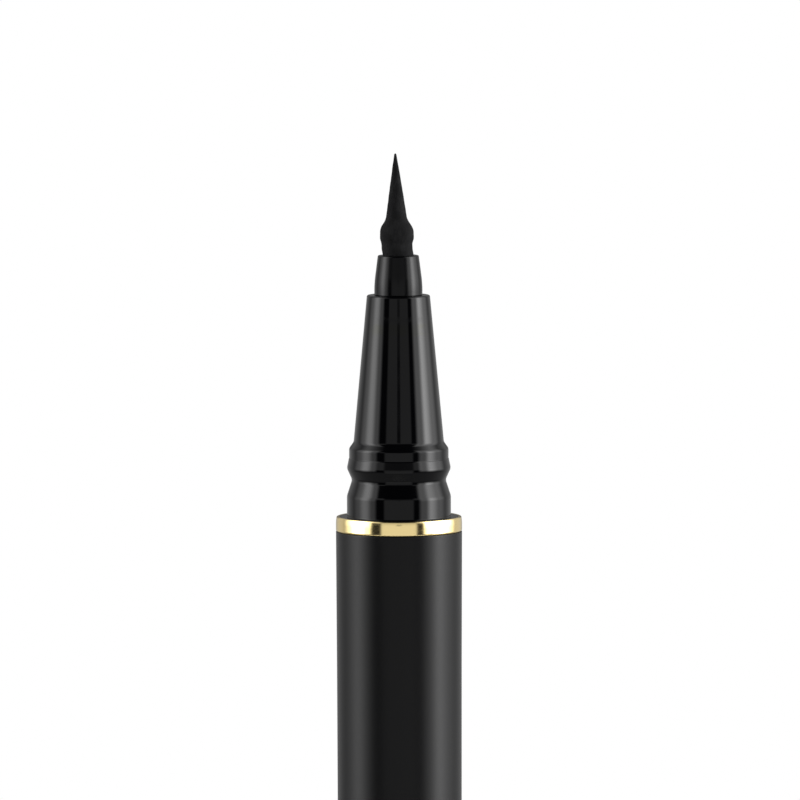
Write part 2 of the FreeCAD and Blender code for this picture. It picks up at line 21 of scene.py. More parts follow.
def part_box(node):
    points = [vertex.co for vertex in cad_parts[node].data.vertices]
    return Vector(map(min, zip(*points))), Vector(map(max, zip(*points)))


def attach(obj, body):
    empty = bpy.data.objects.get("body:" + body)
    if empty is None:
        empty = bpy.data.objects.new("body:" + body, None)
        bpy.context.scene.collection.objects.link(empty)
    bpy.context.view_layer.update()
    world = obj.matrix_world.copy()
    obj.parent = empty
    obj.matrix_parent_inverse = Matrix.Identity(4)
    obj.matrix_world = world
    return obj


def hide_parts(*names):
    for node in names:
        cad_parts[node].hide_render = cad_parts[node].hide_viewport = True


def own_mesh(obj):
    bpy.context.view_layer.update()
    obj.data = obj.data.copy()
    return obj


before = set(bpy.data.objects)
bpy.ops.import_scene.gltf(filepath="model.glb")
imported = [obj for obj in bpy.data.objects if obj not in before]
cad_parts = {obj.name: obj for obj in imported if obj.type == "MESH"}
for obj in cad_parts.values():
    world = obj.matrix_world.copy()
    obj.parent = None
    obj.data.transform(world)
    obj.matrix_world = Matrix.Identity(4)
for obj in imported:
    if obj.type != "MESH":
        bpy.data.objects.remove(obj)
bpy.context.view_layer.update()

log = logging.getLogger("eyeliner_pen")

MM = 0.001                        # one millimetre in metres
MERGE_DISTANCE = 1e-4             # closer points are one point
SHARP_ANGLE = math.radians(32)    # sharper edges keep their crease
HOLD = 0.04                       # a rounding's shading ends this far along a straight run
SHORT_RUN = 4 * HOLD              # a shorter straight run is left whole
FEW_FACETS, MANY_FACETS = 3, 8    # in a rounding that hardly shows, and in one that shows most
NOISE_LOW, NOISE_HIGH = 0.3, 0.7  # nearly all of a noise pattern lies between these
NUMBER_A, NUMBER_B = 2, 3         # number inputs of a Mix node
COLOUR_A, COLOUR_B = 6, 7         # its colour inputs
COLOUR_OUT = 2                    # and its colour output
WHITE = (1.0, 1.0, 1.0, 1.0)


class Body(Enum):
    """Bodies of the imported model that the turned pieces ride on."""

    PEN = "pen"
    CAP = "cap"
    INNER_CAP = "inner_cap"


class Slot(Enum):
    """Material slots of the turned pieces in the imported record."""

    FELT = "felt"
    FRONT = "front_plastic"
    TRIM = "trim_metal"
    BARREL = "barrel_plastic"
    INNER = "inner_plastic"
    STEEL = "steel"


class Side(Enum):
    """Which side of the pen, seen from the camera, a light panel stands on."""

    LEFT = -1
    RIGHT = 1
    BOTH = 0


def ends(node: str) -> tuple[float, float]:
    """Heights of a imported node's lowest and highest point, in millimetres."""
    low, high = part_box(node)
    return low.z / MM, high.z / MM


BARREL_REAR, BARREL_MOUTH = ends("barrel")
RING_TOP = ends("trim_ring")[1]
SPIGOT_END, NOSE = ends("front_section")
HOLDER_END, HOLDER_TOP = ends("nib_holder")
TAIL_END, PLUG_TOP = ends("tail_plug")
CAP_MOUTH = ends("cap_shell")[1]
RETAINER_END, RETAINER_TOP = ends("inner_cap_retainer")
INNER_CAP_SEAT = ends("inner_cap")[0]
SPRING_END, SPRING_TOP = ends("inner_cap_spring")


def linear(code: str) -> tuple[float, float, float, float]:
    """Turns an sRGB hex colour into linear light.

    Args:
        code: The colour as "#rrggbb".

    Returns:
        Red, green, blue and an alpha of 1.
    """
    shares = [int(code[i:i + 2], 16) / 255 for i in (1, 3, 5)]
    light = [s / 12.92 if s <= 0.04045 else ((s + 0.055) / 1.055) ** 2.4 for s in shares]
    return light[0], light[1], light[2], 1.0


def per_metre(spacing: float) -> float:
    """Scale of a pattern whose features are this many millimetres apart."""
    return 1 / (spacing * MM)


def add_node(
    tree: bpy.types.NodeTree,
    kind: str,
    settings: dict[str, object] | None = None,
    inputs: dict[str | int, object] | None = None,
) -> bpy.types.Node:
    """Adds a node, sets its properties and fills or links its inputs.

    Args:
        tree: Node tree that gets the node.
        kind: Blender's name for the type of node.
        settings: Property values by name.
        inputs: Values, or output sockets to link, by the input's name or number.

    Returns:
        The new node.
    """
    node = tree.nodes.new(kind)
    for key, value in (settings or {}).items():
        setattr(node, key, value)
    for key, value in (inputs or {}).items():
        if isinstance(value, bpy.types.NodeSocket):
            tree.links.new(value, node.inputs[key])
        else:
            node.inputs[key].default_value = value
    return node


# Finishes


@dataclass(frozen=True)
class Finish:
    """A material by its real name, with the values that are the same all over it."""

    name: str
    colour: str
    roughness: float
    ior: float = 1.5
    specular: float = 0.5
    metallic: float = 0.0

    def material(self) -> bpy.types.Material:
        """Makes the material and lets the finish add its pattern.

        Returns:
            The material, on a Principled shader.
        """
        material = bpy.data.materials.new(self.name)
        material.use_nodes = True
        tree = material.node_tree
        tree.nodes.clear()
        shader = add_node(tree, "ShaderNodeBsdfPrincipled", inputs={
            "Base Color": linear(self.colour),
            "Roughness": self.roughness,
            "IOR": self.ior,
            "Specular IOR Level": self.specular,
            "Metallic": self.metallic,
        })
        add_node(tree, "ShaderNodeOutputMaterial", inputs={"Surface": shader.outputs["BSDF"]})
        place = add_node(tree, "ShaderNodeTexCoord").outputs["Object"]
        self.pattern(tree, shader, place)
        return material

    def pattern(
        self, tree: bpy.types.NodeTree, shader: bpy.types.Node, place: bpy.types.NodeSocket
    ) -> None:
        """Adds what varies over the surface.

        Args:
            tree: The material's node tree.
            shader: Its Principled shader.
            place: Object coordinates, in metres.
        """
        raise NotImplementedError


@dataclass(frozen=True)
class FibreFinish(Finish):
    """Pressed or bonded fibres along the axis: no gloss, fine dark streaks and drier patches."""

    dry_colour: str = "#151516"
    fibre_width: float = 0.07      # the real fibres are 0.02, too fine to show
    fibre_length: float = 0.8
    patch_width: float = 0.9
    dry_limits: tuple[float, float] = (0.18, 0.42)    # pattern where a patch is wet, and dry
    relief: float = 0.012

    def pattern(
        self, tree: bpy.types.NodeTree, shader: bpy.types.Node, place: bpy.types.NodeSocket
    ) -> None:
        """Adds streaks of fibre, lighter where a patch is dry, with their relief.

        Args:
            tree: The material's node tree.
            shader: Its Principled shader.
            place: Object coordinates, in metres.
        """
        drawn = add_node(tree, "ShaderNodeMapping", inputs={
            "Vector": place, "Scale": (1, 1, self.fibre_width / self.fibre_length)})
        fibres = add_node(tree, "ShaderNodeTexNoise", inputs={
            "Vector": drawn.outputs[0], "Scale": per_metre(self.fibre_width), "Detail": 3.0})
        patches = add_node(tree, "ShaderNodeTexNoise", inputs={
            "Vector": place, "Scale": per_metre(self.patch_width), "Detail": 1.0})
        mixed = add_node(tree, "ShaderNodeMath", {"operation": "MULTIPLY"}, {
            0: fibres.outputs[0], 1: patches.outputs[0]})
        dryness = add_node(tree, "ShaderNodeMapRange", inputs={
            "Value": mixed.outputs[0],
            "From Min": self.dry_limits[0], "From Max": self.dry_limits[1]})
        streaks = add_node(tree, "ShaderNodeMix", {"data_type": "RGBA"}, {
            0: dryness.outputs[0],
            COLOUR_A: linear(self.colour), COLOUR_B: linear(self.dry_colour)})
        bump = add_node(tree, "ShaderNodeBump", inputs={
            "Height": fibres.outputs[0], "Strength": 1.0, "Distance": self.relief * MM})
        tree.links.new(streaks.outputs[COLOUR_OUT], shader.inputs["Base Color"])
        tree.links.new(bump.outputs[0], shader.inputs["Normal"])


@dataclass(frozen=True)
class GlossMoulding(Finish):
    """Hard plastic from a polished mould: mirror-like, with a faint flow in the gloss.

    The lip of the inner cap has left a broken ring of dried ink round the nose, an oily film that
    yellows the gloss a little, with a scuffed line above it.
    """

    flow_spacing: float = 1.6
    gloss_spread: float = 0.03
    clear_tint: str = "#ffffff"
    film_tint: str = "#fefef4"
    film: tuple[float, float] = (145.3, 146.5)    # heights of its lower and upper edge
    scuff: tuple[float, float] = (146.4, 147.1)
    ring_fade: float = 0.3
    ring_spacing: float = 0.8
    ring_limits: tuple[float, float] = (0.35, 0.6)    # pattern where it is broken, and whole
    scuff_dulling: float = 0.10

    def pattern(
        self, tree: bpy.types.NodeTree, shader: bpy.types.Node, place: bpy.types.NodeSocket
    ) -> None:
        """Adds gloss that wanders with the flow of the plastic, and the ring on the nose.

        Args:
            tree: The material's node tree.
            shader: Its Principled shader.
            place: Object coordinates, in metres.
        """
        flow = add_node(tree, "ShaderNodeTexNoise", inputs={
            "Vector": place, "Scale": per_metre(self.flow_spacing), "Detail": 2.0})
        gloss = add_node(tree, "ShaderNodeMapRange", inputs={
            "Value": flow.outputs[0], "From Min": NOISE_LOW, "From Max": NOISE_HIGH,
            "To Min": self.roughness, "To Max": self.roughness + self.gloss_spread})
        height = add_node(tree, "ShaderNodeSeparateXYZ", inputs={0: place}).outputs["Z"]
        broken = add_node(tree, "ShaderNodeTexNoise", inputs={
            "Vector": place, "Scale": per_metre(self.ring_spacing), "Detail": 3.0})
        cover = add_node(tree, "ShaderNodeMapRange", inputs={
            "Value": broken.outputs[0],
            "From Min": self.ring_limits[0], "From Max": self.ring_limits[1]}).outputs[0]
        shares = []
        for low, high in (self.film, self.scuff):
            share = cover
            for edge, fade in ((low, self.ring_fade), (high, -self.ring_fade)):
                limit = add_node(
                    tree, "ShaderNodeMapRange", {"interpolation_type": "SMOOTHSTEP"}, {
                        "Value": height, "From Min": edge * MM, "From Max": (edge + fade) * MM})
                share = add_node(tree, "ShaderNodeMath", {"operation": "MULTIPLY"}, {
                    0: share, 1: limit.outputs[0]}).outputs[0]
            shares.append(share)
        tint = add_node(tree, "ShaderNodeMix", {"data_type": "RGBA"}, {
            0: shares[0], COLOUR_A: linear(self.clear_tint), COLOUR_B: linear(self.film_tint)})
        dulled = add_node(tree, "ShaderNodeMath", {"operation": "MULTIPLY_ADD"}, {
            0: shares[1], 1: self.scuff_dulling, 2: gloss.outputs[0]})
        tree.links.new(tint.outputs[COLOUR_OUT], shader.inputs["Specular Tint"])
        tree.links.new(dulled.outputs[0], shader.inputs["Roughness"])


@dataclass(frozen=True)
class MattCoat(Finish):
    """Plastic under a sprayed matt lacquer: broad soft highlights on a very fine grain."""

    grain_spacing: float = 0.16    # the real grain is about 0.03, too fine to show
    grain_relief: float = 0.0012
    gloss_spread: float = 0.05

    def pattern(
        self, tree: bpy.types.NodeTree, shader: bpy.types.Node, place: bpy.types.NodeSocket
    ) -> None:
        """Adds fine grain in the relief and in the gloss.

        Args:
            tree: The material's node tree.
            shader: Its Principled shader.
            place: Object coordinates, in metres.
        """
        grain = add_node(tree, "ShaderNodeTexNoise", inputs={
            "Vector": place, "Scale": per_metre(self.grain_spacing), "Detail": 3.0})
        gloss = add_node(tree, "ShaderNodeMapRange", inputs={
            "Value": grain.outputs[0], "From Min": NOISE_LOW, "From Max": NOISE_HIGH,
            "To Min": self.roughness, "To Max": self.roughness + self.gloss_spread})
        bump = add_node(tree, "ShaderNodeBump", inputs={
            "Height": grain.outputs[0], "Strength": 1.0, "Distance": self.grain_relief * MM})
        tree.links.new(gloss.outputs[0], shader.inputs["Roughness"])
        tree.links.new(bump.outputs[0], shader.inputs["Normal"])


@dataclass(frozen=True)
class TurnedMetal(Finish):
    """Metal polished on the lathe: a clear mirror with hair-fine lines round the axis."""

    line_spacing: float = 0.09     # the real lines are about 0.02, too fine to show
    line_length: float = 6.0
    gloss_spread: float = 0.05
    metallic: float = 1.0

    def pattern(
        self, tree: bpy.types.NodeTree, shader: bpy.types.Node, place: bpy.types.NodeSocket
    ) -> None:
        """Adds lines round the axis, in the gloss only.

        Args:
            tree: The material's node tree.
            shader: Its Principled shader.
            place: Object coordinates, in metres.
        """
        stretch = self.line_spacing / self.line_length
        drawn = add_node(tree, "ShaderNodeMapping", inputs={
            "Vector": place, "Scale": (stretch, stretch, 1)})
        lines = add_node(tree, "ShaderNodeTexNoise", inputs={
            "Vector": drawn.outputs[0], "Scale": per_metre(self.line_spacing), "Detail": 2.0})
        gloss = add_node(tree, "ShaderNodeMapRange", inputs={
            "Value": lines.outputs[0], "From Min": NOISE_LOW, "From Max": NOISE_HIGH,
            "To Min": self.roughness, "To Max": self.roughness + self.gloss_spread})
        tree.links.new(gloss.outputs[0], shader.inputs["Roughness"])


@dataclass(frozen=True)
class CloudedPlastic(Finish):
    """Uncoloured or soft plastic: dull, slightly cloudy, with a moulded skin."""

    cloud_colour: str = "#d5d6d0"
    cloud_spacing: float = 3.0
    skin_spacing: float = 0.3
    skin_relief: float = 0.002

    def pattern(
        self, tree: bpy.types.NodeTree, shader: bpy.types.Node, place: bpy.types.NodeSocket
    ) -> None:
        """Adds clouds in the colour and the fine relief of the mould.

        Args:
            tree: The material's node tree.
            shader: Its Principled shader.
            place: Object coordinates, in metres.
        """
        clouds = add_node(tree, "ShaderNodeTexNoise", inputs={
            "Vector": place, "Scale": per_metre(self.cloud_spacing), "Detail": 2.0})
        shade = add_node(tree, "ShaderNodeMix", {"data_type": "RGBA"}, {
            0: clouds.outputs[0],
            COLOUR_A: linear(self.colour), COLOUR_B: linear(self.cloud_colour)})
        skin = add_node(tree, "ShaderNodeTexNoise", inputs={
            "Vector": place, "Scale": per_metre(self.skin_spacing), "Detail": 2.0})
        bump = add_node(tree, "ShaderNodeBump", inputs={
            "Height": skin.outputs[0], "Strength": 1.0, "Distance": self.skin_relief * MM})
        tree.links.new(shade.outputs[COLOUR_OUT], shader.inputs["Base Color"])
        tree.links.new(bump.outputs[0], shader.inputs["Normal"])


# Felt pressed from polyester and soaked in ink: dead black, with faint dry streaks
INK_FELT = FibreFinish("polyester_felt_pressed_inked", "#060607", 0.85, specular=0.15)
# Bonded fibre full of ink: dark and dull, combed along its length
INK_FIBRE = FibreFinish(
    "polyester_fibre_bonded_inked", "#101013", 0.9, specular=0.2, fibre_length=3.0)
# ABS from a polished mould: black, with clear-edged images of the light panels
BLACK_ABS = GlossMoulding("abs_black_polished_moulding", "#020203", 0.07, specular=0.20)
# ABS from a mould with a finer blasted face: black, with the same images softened
SATIN_ABS = GlossMoulding("abs_black_satin_moulding", "#020203", 0.18, specular=0.165)
# ABS under a sprayed matt lacquer: black, with broad and soft-edged highlights
BLACK_LACQUER = MattCoat("abs_black_matt_lacquer", "#040405", 0.30, specular=0.175)
# Gold anodised aluminium, turned and polished: a warm mirror with dark gaps between the lights
GOLD_ALUMINIUM = TurnedMetal("aluminium_gold_anodised_polished", "#fde5a4", 0.09)
# Stainless steel, drawn and polished: a cool grey mirror
STEEL = TurnedMetal("stainless_steel_polished", "#c9c9c6", 0.12)
# Polypropylene without colouring: milky and waxy
NATURAL_PP = CloudedPlastic("polypropylene_natural_moulded", "#e6e7e1", 0.38, 1.49)
# Nitrile rubber, moulded: soft dark grey, hardly any highlight
BLACK_RUBBER = CloudedPlastic(
    "nitrile_rubber_moulded", "#191919", 0.6, 1.52, cloud_colour="#222222")


@functools.cache
def dressed(finish: Finish) -> bpy.types.Material:
    """The finish's material, made the first time that it is asked for."""
    return finish.material()


# Turning


@dataclass(frozen=True)
class Corner:
    """A corner of a turned outline.

    Attributes:
        radius: Distance from the pen's axis.
        height: Height above the foot of the standing pen.
        ease: How far along both sides the rounding reaches, or 0 for a sharp corner.
        facets: Number of facets in the rounding.
    """

    radius: float
    height: float
    ease: float = 0.0
    facets: int = 6


@dataclass(frozen=True)
class Piece:
    """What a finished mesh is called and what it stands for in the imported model."""

    name: str
    node: str
    body: Body
    slot: Slot
    finish: Finish


def turn(corners: list[Corner], sides: int, spacing: float | None = None) -> bmesh.types.BMesh:
    """Turns an outline about the pen's axis.

    Args:
        corners: The outline's corners in order. One that begins and ends on the axis makes a
            solid piece, any other is closed to a ring.
        sides: Number of facets round the axis.
        spacing: Longest facet along the outline, or None to leave straight runs whole, apart
            from a cut near both ends that keeps the shading of the roundings off them.

    Returns:
        A closed mesh in millimetres with its faces outwards.
    """
    mesh = bmesh.new()
    points = [mesh.verts.new((c.radius, 0.0, c.height)) for c in corners]
    for start, end in zip(points, points[1:]):
        mesh.edges.new((start, end))
    if corners[0].radius or corners[-1].radius:
        mesh.edges.new((points[-1], points[0]))
    for point, corner in zip(points, corners):
        if corner.ease:
            bmesh.ops.bevel(
                mesh, geom=[point], offset=corner.ease, offset_type="OFFSET",
                segments=corner.facets, profile=0.5, affect="VERTICES", material=-1)
    for run in mesh.edges[:]:
        length = run.calc_length()
        if spacing and length > spacing:
            bmesh.ops.subdivide_edges(mesh, edges=[run], cuts=int(length / spacing))
        elif not spacing and length > SHORT_RUN:
            first, second = run.verts
            bmesh.utils.edge_split(run, first, HOLD / length)
            bmesh.utils.edge_split(run, second, HOLD / (length - HOLD))
    bmesh.ops.spin(
        mesh, geom=mesh.verts[:] + mesh.edges[:], cent=(0, 0, 0), axis=(0, 0, 1), dvec=(0, 0, 0),
        angle=math.tau, steps=sides, use_merge=True, use_normal_flip=False, use_duplicate=False)
    bmesh.ops.remove_doubles(mesh, verts=mesh.verts, dist=MERGE_DISTANCE)
    bmesh.ops.recalc_face_normals(mesh, faces=mesh.faces)
    return mesh


def publish(mesh: bmesh.types.BMesh, piece: Piece) -> bpy.types.Object:
    """Makes a mesh an object in metres, gives it its finish and body, and hides the node that it
    replaces.

    Args:
        mesh: The shape in millimetres, which is used up.
        piece: What the shape is.

    Returns:
        The new object.
    """
    bmesh.ops.scale(mesh, vec=(MM, MM, MM), verts=mesh.verts)
    for face in mesh.faces:
        face.smooth = True
    for edge in mesh.edges:
        edge.smooth = edge.calc_face_angle(0.0) < SHARP_ANGLE
    data = bpy.data.meshes.new(piece.name)
    mesh.to_mesh(data)
    mesh.free()
    data.materials.append(dressed(piece.finish))
    made = bpy.data.objects.new(piece.name, data)
    bpy.context.scene.collection.objects.link(made)
    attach(made, piece.body.value)
    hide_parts(piece.node)
    return made


# Sub-assemblies


@dataclass
class WritingTip:
    """The felt nib and the holder that carries it. Heights count from the holder's top."""

    sides: int = 128
    neck_radius: float = 1.29
    neck_height: float = 1.0
    neck_ease: float = 0.15
    shoulder_radius: float = 1.405
    shoulder_low: float = 1.35
    shoulder_low_ease: float = 0.17
    shoulder_high: float = 2.22
    shoulder_high_ease: float = 0.30
    waist_radius: float = 0.895
    waist_height: float = 2.98
    waist_ease: float = 0.22
    middle_radius: float = 0.60
    middle_height: float = 5.15
    middle_ease: float = 1.5
    point_height: float = 8.50
    point_radius: float = 0.09
    point_slope: float = 0.08      # height of the little cone that ends the felt
    point_ease: float = 0.03
    stem_radius: float = 0.90
    socket_depth: float = 7.0
    felt_spacing: float = 0.10
    felt_lumps: tuple[tuple[float, float], ...] = ((0.55, 0.020), (0.16, 0.007))   # width, depth
    lump_fade: float = 0.36        # radius below which the lumps fade out
    set_off: float = 0.085         # how far to the left the felt sits above its neck
    set_off_height: float = 0.5
    bend: float = 0.145            # and how far further left its point is bent
    collar_radius: float = 2.005
    collar_top_radius: float = 1.705
    collar_straight: float = 0.95
    collar_foot_ease: float = 0.03
    collar_ease: float = 0.55
    tube_radius: float = 1.78
    socket_radius: float = 1.31
    socket_ease: float = 0.05
    stem_bore_radius: float = 0.92
    edge_ease: float = 0.10
    holder_sides: int = 126        # a multiple of the flutes, so that each has the same facets
    flute_count: int = 3
    flute_facets: int = 6
    flute_depth: float = 0.25
    flute_runout: float = 0.45     # the flutes end this far below the nose

    def build(self) -> list[bpy.types.Object]:
        """Builds the nib and its holder."""
        return [self.nib(), self.holder()]

    def nib(self) -> bpy.types.Object:
        """The felt point, a little lumpy and bent a little to the left by use.

        Returns:
            The nib.
        """
        base = HOLDER_TOP
        socket = base - self.socket_depth
        mesh = turn([
            Corner(0.0, HOLDER_END),
            Corner(self.stem_radius, HOLDER_END),
            Corner(self.stem_radius, socket),
            Corner(self.neck_radius, socket),
            Corner(self.neck_radius, base + self.neck_height, self.neck_ease),
            Corner(self.shoulder_radius, base + self.shoulder_low, self.shoulder_low_ease),
            Corner(self.shoulder_radius, base + self.shoulder_high, self.shoulder_high_ease),
            Corner(self.waist_radius, base + self.waist_height, self.waist_ease),
            Corner(self.middle_radius, base + self.middle_height, self.middle_ease),
            Corner(
                self.point_radius, base + self.point_height - self.point_slope,
                self.point_ease, FEW_FACETS),
            Corner(0.0, base + self.point_height),
        ], self.sides, self.felt_spacing)
        for vert in mesh.verts:
            rise = vert.co.z - base
            if rise > 0:
                out = Vector((vert.co.x, vert.co.y, 0.0))
                share = min(1.0, rise / self.neck_height) * min(1.0, out.length / self.lump_fade)
                lump = sum(depth * noise.noise(vert.co / width) for width, depth in self.felt_lumps)
                vert.co += out.normalized() * lump * share
                seated = min(1.0, rise / self.set_off_height)
                vert.co.x -= self.set_off * seated + self.bend * rise / self.point_height
        return publish(mesh, Piece("nib_felt_point", "nib", Body.PEN, Slot.FELT, INK_FELT))

    def holder(self) -> bpy.types.Object:
        """The tapered collar on the nose, with the tube that holds the nib in the front section.

        Returns:
            The holder.
        """
        socket = HOLDER_TOP - self.socket_depth
        mesh = turn([
            Corner(self.tube_radius - self.flute_depth, HOLDER_END),
            Corner(self.tube_radius, HOLDER_END, self.edge_ease, FEW_FACETS),
            Corner(self.tube_radius, NOSE - self.flute_runout),
            Corner(self.tube_radius, NOSE),
            Corner(self.collar_radius, NOSE, self.collar_foot_ease, FEW_FACETS),
            Corner(self.collar_radius, NOSE + self.collar_straight, self.collar_ease, MANY_FACETS),
            Corner(self.collar_top_radius, HOLDER_TOP, self.edge_ease),
            Corner(self.socket_radius, HOLDER_TOP, self.socket_ease, FEW_FACETS),
            Corner(self.socket_radius, socket),
            Corner(self.stem_bore_radius, socket),
            Corner(self.stem_bore_radius, HOLDER_END),
        ], self.holder_sides)
        for flute in range(self.flute_count):
            self.cut_flute(mesh, math.tau * flute / self.flute_count)
        bmesh.ops.recalc_face_normals(mesh, faces=mesh.faces)
        return publish(
            mesh, Piece("nib_holder_collar", "nib_holder", Body.PEN, Slot.FRONT, SATIN_ABS))

    def cut_flute(self, mesh: bmesh.types.BMesh, angle: float) -> None:
        """Cuts one air flute, open at its lower end, into the wall of the holder's tube.

        Args:
            mesh: The turned holder in millimetres.
            angle: Where the flute is, round the axis, in radians.
        """
        floor_radius = self.tube_radius - self.flute_depth
        top = NOSE - self.flute_runout
        middle = Vector((math.cos(angle), math.sin(angle), 0.0))
        half_width = math.pi * self.flute_facets / self.holder_sides
        wall = []
        for face in mesh.faces:
            centre = face.calc_center_median()
            out = Vector((centre.x, centre.y, 0.0))
            if centre.z < top and out.length > floor_radius and out.angle(middle) < half_width:
                wall.append(face)
        bmesh.ops.delete(mesh, geom=wall, context="FACES")
        foot = [
            edge for edge in mesh.edges if edge.is_boundary
            and all(vert.co.xy.length < floor_radius + MERGE_DISTANCE for vert in edge.verts)]
        floor = bmesh.ops.extrude_edge_only(mesh, edges=foot)["geom"]
        bmesh.ops.translate(
            mesh, verts=[part for part in floor if isinstance(part, bmesh.types.BMVert)],
            vec=(0, 0, top - HOLDER_END))
        head = [
            edge for edge in mesh.edges if edge.is_boundary
            and all(vert.co.z > top - MERGE_DISTANCE for vert in edge.verts)]
        bmesh.ops.bridge_loops(mesh, edges=head)
        bmesh.ops.holes_fill(mesh, edges=[edge for edge in mesh.edges if edge.is_boundary])


@dataclass
class FrontSection:
    """The glossy moulding from the nose to the skirt. Heights count from the ring's top."""

    sides: int = 192
    seat_radius: float = 4.3375
    seat_height: float = 1.72
    seat_ease: float = 0.14
    groove_radius: float = 3.90
    groove_height: float = 3.06
    groove_ease: float = 0.20
    bead_radius: float = 4.335
    bead_height: float = 4.02
    bead_ease: float = 0.17
    band_radius: float = 4.145
    bead_foot_radius: float = 4.172
    bead_foot: float = 4.83
    bead_foot_ease: float = 0.02
    band_low: float = 4.87
    band_high: float = 5.69
    band_ease: float = 0.12
    cone_radius: float = 3.765
    cone_low: float = 6.22
    cone_ease: float = 0.14
    nose_radius: float = 2.625
    nose_ease: float = 0.14
    nose_bore: float = 1.80
    edge_ease: float = 0.05
    chamber_radius: float = 2.70
    chamber_top: float = 7.0
    chamber_slope: float = 0.8
    spigot_radius: float = 3.28
    spigot_length: float = 6.0
    skirt_radius: float = 4.28
    skirt_lead: float = 0.4
    snap_depth: float = 6.0
    snap_height: float = 0.12
    snap_half_width: float = 0.45
    shoulder_radius: float = 4.94
    shoulder_floor: float = 0.30

    def build(self) -> list[bpy.types.Object]:
        """Builds the one moulding."""
        return [self.moulding()]

    def moulding(self) -> bpy.types.Object:
        """Nose cone, band, snap bead, groove and seat, and the skirt that clips into the barrel.

        Returns:
            The moulding.
        """
        top = RING_TOP
        spigot_foot = SPIGOT_END + self.spigot_length
        snap_low = BARREL_MOUTH - self.snap_depth - self.snap_half_width
        snap_high = BARREL_MOUTH - self.snap_depth + self.snap_half_width
        snap_crest = self.skirt_radius + self.snap_height
        ledge = BARREL_MOUTH + self.shoulder_floor
        mesh = turn([
            Corner(self.seat_radius, top, self.edge_ease, FEW_FACETS),
            Corner(self.seat_radius, top + self.seat_height, self.seat_ease),
            Corner(self.groove_radius, top + self.groove_height, self.groove_ease, MANY_FACETS),
            Corner(self.bead_radius, top + self.bead_height, self.bead_ease, MANY_FACETS),
            Corner(self.bead_foot_radius, top + self.bead_foot, self.bead_foot_ease, FEW_FACETS),
            Corner(self.band_radius, top + self.band_low, self.bead_foot_ease, FEW_FACETS),
            Corner(self.band_radius, top + self.band_high, self.band_ease),
            Corner(self.cone_radius, top + self.cone_low, self.cone_ease),
            Corner(self.nose_radius, NOSE, self.nose_ease, MANY_FACETS),
            Corner(self.nose_bore, NOSE, self.edge_ease, FEW_FACETS),
            Corner(self.nose_bore, top + self.chamber_top),
            Corner(self.chamber_radius, top + self.chamber_top - self.chamber_slope),
            Corner(self.chamber_radius, SPIGOT_END),
            Corner(self.spigot_radius, SPIGOT_END),
            Corner(self.spigot_radius, spigot_foot),
            Corner(self.skirt_radius - self.skirt_lead, spigot_foot),
            Corner(self.skirt_radius, spigot_foot + self.skirt_lead),
            Corner(self.skirt_radius, snap_low),
            Corner(snap_crest, snap_low + self.snap_height),
            Corner(snap_crest, snap_high - self.snap_height),
            Corner(self.skirt_radius, snap_high),
            Corner(self.skirt_radius, ledge),
            Corner(self.shoulder_radius, ledge),
            Corner(self.shoulder_radius, top),
        ], self.sides)
        return publish(
            mesh, Piece("front_section_moulding", "front_section", Body.PEN, Slot.FRONT, BLACK_ABS))


